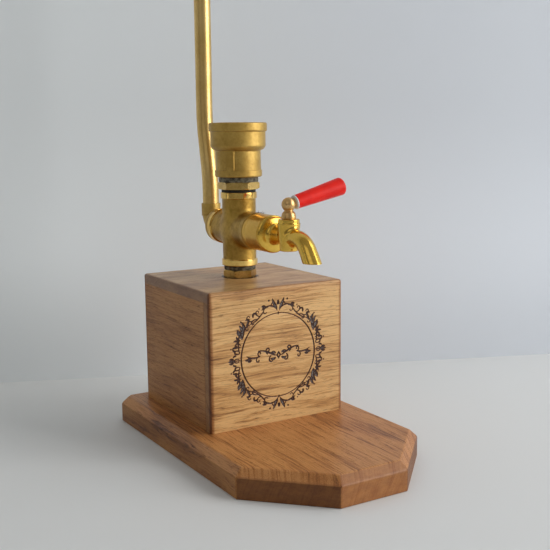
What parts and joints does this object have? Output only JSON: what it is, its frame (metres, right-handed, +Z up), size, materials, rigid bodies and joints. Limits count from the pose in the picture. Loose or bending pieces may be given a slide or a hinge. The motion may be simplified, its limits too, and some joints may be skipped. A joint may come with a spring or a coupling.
{
  "type": "bottle tap dispenser",
  "caption": "Oak block on a clipped-corner board with a brass pipe cross, a small lever tap, a socket for an upturned bottle and a bent vent tube.",
  "frame": {"origin": "centre of the base board's underside", "axes": "+Z up, -Y forward, where the spout points, +X to the right seen from the front, where the closed handle points"},
  "size_m": [0.136, 0.226, 0.47],
  "materials": {
    "oak_board": "oiled brown oak",
    "oak_panel": "oiled golden brown oak, planed",
    "raw_wood": "unfinished softwood",
    "zinc_steel": "zinc plated",
    "cast_brass": "dull sand-cast brass with machined rims",
    "satin_brass": "satin, fine blasted",
    "turned_brass": "turned, slightly dull",
    "tube_brass": "drawn tube, satin",
    "polished_brass": "polished",
    "plug_brass": "satin, pinkish",
    "grey_rubber": "matt dark grey",
    "black_rubber": "matt black",
    "white_plastic": "glossy",
    "red_plastic": "glossy"
  },
  "bodies": {
    "stand": {"base_board": "oak_board", "front_panel": "oak_panel", "rear_panel": "oak_panel", "left_panel": "oak_panel", "right_panel": "oak_panel", "top_board": "oak_panel", "corner_blocks": "raw_wood", "base_screws": "zinc_steel", "anchor_nipple": "turned_brass", "anchor_washer": "zinc_steel", "anchor_locknut": "turned_brass", "blanking_cap": "turned_brass", "anchor_seal": "grey_rubber", "cross_fitting": "cast_brass", "upper_seal": "black_rubber", "reducing_nipple": "turned_brass", "socket_seal": "grey_rubber", "bottle_socket": "satin_brass", "bottle_seal": "black_rubber", "rear_seal": "black_rubber", "vent_elbow": "satin_brass", "vent_tube": "tube_brass", "tap_extension": "turned_brass", "tap_gasket": "black_rubber", "tap_body": "polished_brass"},
    "tap_key": {"tap_plug": "plug_brass", "plug_rings": "black_rubber", "plug_washer": "zinc_steel", "plug_screw": "zinc_steel", "handle_stud": "zinc_steel", "handle_ferrule": "white_plastic", "handle_grip": "red_plastic"}
  },
  "joints": [
    {"name": "tap_turn", "type": "hinge", "parent": "stand", "child": "tap_key", "pos_m": [0, -0.0206, 0.145], "axis": [0, 0, -1], "range_deg": [0, 90]}
  ]
}
